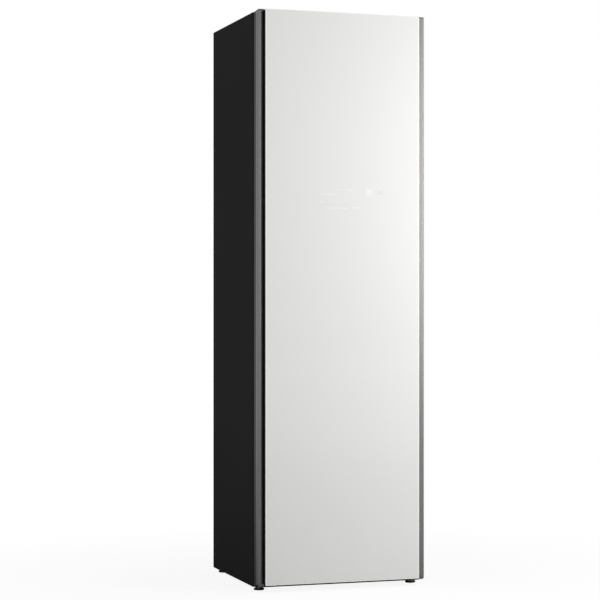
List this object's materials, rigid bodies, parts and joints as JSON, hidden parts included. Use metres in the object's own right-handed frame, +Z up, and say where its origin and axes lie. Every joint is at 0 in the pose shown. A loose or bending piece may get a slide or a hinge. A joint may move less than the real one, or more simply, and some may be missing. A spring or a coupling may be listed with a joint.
{
  "type": "clothes care steam cabinet",
  "caption": "Tall steam cabinet for clothes with a glass door hinged on the right, a moving hanger bar, a trouser press, pull-out water tanks and a heat-pump base.",
  "frame": {"origin": "on the floor under the middle of the cabinet's bounding box", "axes": "+X to the right seen from the front, +Y from the door to the back, +Z up"},
  "size_m": [0.6, 0.596, 1.96],
  "materials": {
    "panel_glass": "gloss",
    "graphite_trim": "satin",
    "cap_plastic": "satin",
    "black_plastic": "satin",
    "circuit_board": "satin",
    "bearing_plastic": "satin",
    "foam": "matte",
    "cabin_plastic": "satin",
    "seal_rubber": "matte",
    "press_plastic": "satin",
    "case_paint": "satin",
    "zinc_steel": "satin",
    "steel": "satin",
    "alloy": "satin",
    "copper": "satin",
    "lamp_cover": "satin",
    "tank_plastic": "gloss",
    "hose_rubber": "satin",
    "motor_black": "satin",
    "hanger_plastic": "satin",
    "foot_plastic": "matte"
  },
  "bodies": {
    "cabinet": {"base_frame": "zinc_steel", "side_panel_left": "case_paint", "side_panel_right": "case_paint", "top_panel": "case_paint", "back_panel": "zinc_steel", "service_cover": "zinc_steel", "cover_screws": "steel", "cord_gland": "black_plastic", "front_rim": "case_paint", "hinge_plates": "steel", "insulation": "foam", "cabin_wall_left": "cabin_plastic", "cabin_wall_right": "cabin_plastic", "cabin_rear": "cabin_plastic", "cabin_ceiling": "cabin_plastic", "cabin_floor": "cabin_plastic", "cabin_lamp": "lamp_cover", "drive_plate": "zinc_steel", "guide_rods": "steel", "drive_belt": "seal_rubber", "drive_motor": "motor_black", "tank_bay": "cabin_plastic", "kick_panel": "cabin_plastic", "air_duct": "black_plastic", "fan_motor": "motor_black", "heat_exchangers": "alloy", "compressor": "motor_black", "refrigerant_pipes": "copper", "steam_generator": "zinc_steel", "water_pumps": "motor_black", "hoses": "hose_rubber", "control_box": "black_plastic", "rear_feet": "foot_plastic"},
    "door": {"door_glass": "panel_glass", "trim_left": "graphite_trim", "trim_right": "graphite_trim", "trim_end_caps": "cap_plastic", "door_tray": "black_plastic", "display_board": "circuit_board", "door_frame": "black_plastic", "hinge_bushes": "bearing_plastic", "door_insulation": "foam", "door_liner": "cabin_plastic", "door_gasket": "seal_rubber", "press_board": "press_plastic"},
    "press_flap": {"press_flap": "press_plastic"},
    "supply_tank": {"supply_tank": "tank_plastic"},
    "drain_tank": {"drain_tank": "tank_plastic"},
    "hanger_rail": {"carriage": "alloy", "hanger_bar": "steel"},
    "crank": {"crank_pulley": "bearing_plastic"},
    "motor_wheel": {"motor_pulley": "bearing_plastic"},
    "hanger_left": {"hanger_left": "hanger_plastic"},
    "hanger_right": {"hanger_right": "hanger_plastic"},
    "fan": {"fan_wheel": "black_plastic"},
    "shelf": {"shelf": "cabin_plastic"},
    "lint_filter": {"lint_filter": "cabin_plastic"},
    "aroma_cartridge": {"aroma_cartridge": "press_plastic"},
    "foot_left": {"foot_front_left": "foot_plastic"},
    "foot_right": {"foot_front_right": "foot_plastic"}
  },
  "joints": [
    {"name": "door_hinge", "type": "hinge", "parent": "cabinet", "child": "door", "pos_m": [0.288, -0.254, 0.985], "axis": [0, 0, 1], "range_deg": [0, 120]},
    {"name": "press_flap_hinge", "type": "hinge", "parent": "door", "child": "press_flap", "pos_m": [0.195, -0.2145, 1.02], "axis": [0, 0, -1], "range_deg": [0, 75]},
    {"name": "supply_tank_slide", "type": "slide", "parent": "cabinet", "child": "supply_tank", "axis": [0, -1, 0], "range_m": [0, 0.15]},
    {"name": "drain_tank_slide", "type": "slide", "parent": "cabinet", "child": "drain_tank", "axis": [0, -1, 0], "range_m": [0, 0.15]},
    {"name": "hanger_bar_slide", "type": "slide", "parent": "cabinet", "child": "hanger_rail", "axis": [1, 0, 0], "range_m": [-0.012, 0.012]},
    {"name": "crank_turn", "type": "hinge", "parent": "cabinet", "child": "crank", "pos_m": [0, 0.10225, 1.875], "axis": [0, 0, 1], "range_deg": [-30.2, 30.2]},
    {"name": "motor_turn", "type": "hinge", "parent": "cabinet", "child": "motor_wheel", "pos_m": [0.13, 0.10225, 1.875], "axis": [0, 0, 1], "range_deg": [-97, 97]},
    {"name": "hanger_left_rock", "type": "hinge", "parent": "hanger_rail", "child": "hanger_left", "pos_m": [-0.075, 0.01225, 1.795], "axis": [1, 0, 0], "range_deg": [-6, 6]},
    {"name": "hanger_right_rock", "type": "hinge", "parent": "hanger_rail", "child": "hanger_right", "pos_m": [0.075, 0.01225, 1.795], "axis": [1, 0, 0], "range_deg": [-6, 6]},
    {"name": "fan_turn", "type": "hinge", "parent": "cabinet", "child": "fan", "pos_m": [0, 0.0045, 0.37875], "axis": [0, 1, 0], "continuous": true},
    {"name": "shelf_lift", "type": "slide", "parent": "cabinet", "child": "shelf", "axis": [0, 0, 1], "range_m": [0, 0.03]},
    {"name": "lint_filter_lift", "type": "slide", "parent": "cabinet", "child": "lint_filter", "axis": [0, 0, 1], "range_m": [0, 0.03]},
    {"name": "aroma_cartridge_lift", "type": "slide", "parent": "cabinet", "child": "aroma_cartridge", "axis": [0, 0, 1], "range_m": [0, 0.03]},
    {"name": "foot_left_turn", "type": "hinge", "parent": "cabinet", "child": "foot_left", "pos_m": [-0.2735, -0.212, 0.006], "axis": [0, 0, 1], "continuous": true},
    {"name": "foot_right_turn", "type": "hinge", "parent": "cabinet", "child": "foot_right", "pos_m": [0.2735, -0.212, 0.006], "axis": [0, 0, 1], "continuous": true}
  ],
  "couplings": [
    {"joint": "press_flap_hinge", "follows": "door_hinge", "ratio": 0.625},
    {"joint": "supply_tank_slide", "follows": "door_hinge", "m_per_rad": 0.0716},
    {"joint": "drain_tank_slide", "follows": "door_hinge", "m_per_rad": 0.0716},
    {"joint": "crank_turn", "follows": "hanger_bar_slide", "rad_per_m": 43.63},
    {"joint": "motor_turn", "follows": "hanger_bar_slide", "rad_per_m": 140.24}
  ]
}
